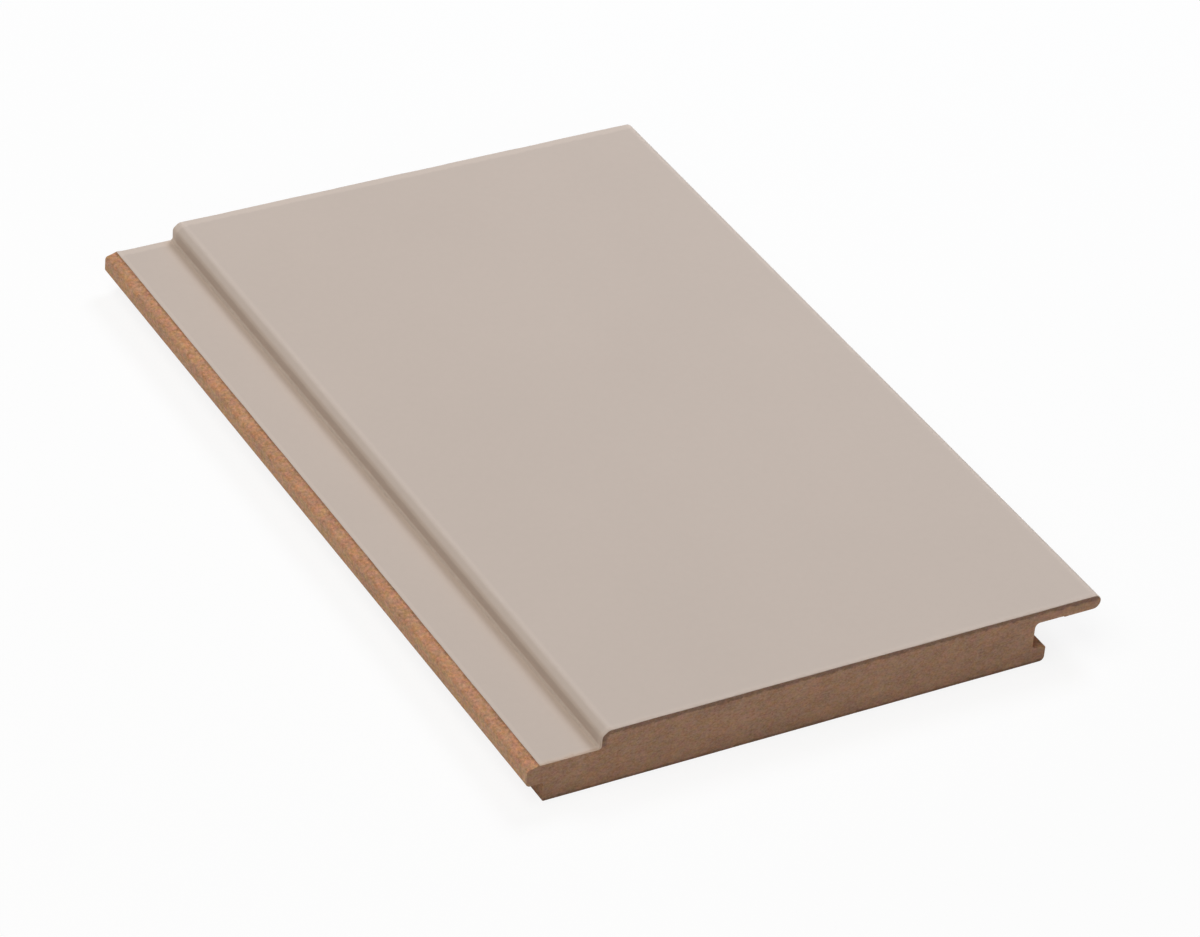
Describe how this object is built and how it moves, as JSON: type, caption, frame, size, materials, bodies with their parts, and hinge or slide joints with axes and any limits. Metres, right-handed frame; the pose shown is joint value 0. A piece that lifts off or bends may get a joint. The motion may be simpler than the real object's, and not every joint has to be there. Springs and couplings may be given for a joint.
{
  "type": "mdf wall panel",
  "caption": "Short length of painted MDF wall panel board, with a bare tongue and a painted ledge beside a rounded step on one edge, and a groove under a round-nosed lip on the other.",
  "frame": {"origin": "centre of the board's outline, on the plane of its back", "axes": "+X across the board, from the tongue edge to the groove edge; +Y along the board; +Z out of the painted face"},
  "size_m": [0.12, 0.18, 0.012],
  "materials": {
    "painted_mdf": "matte"
  },
  "bodies": {
    "root": {"wall_panel": "painted_mdf"}
  },
  "joints": []
}
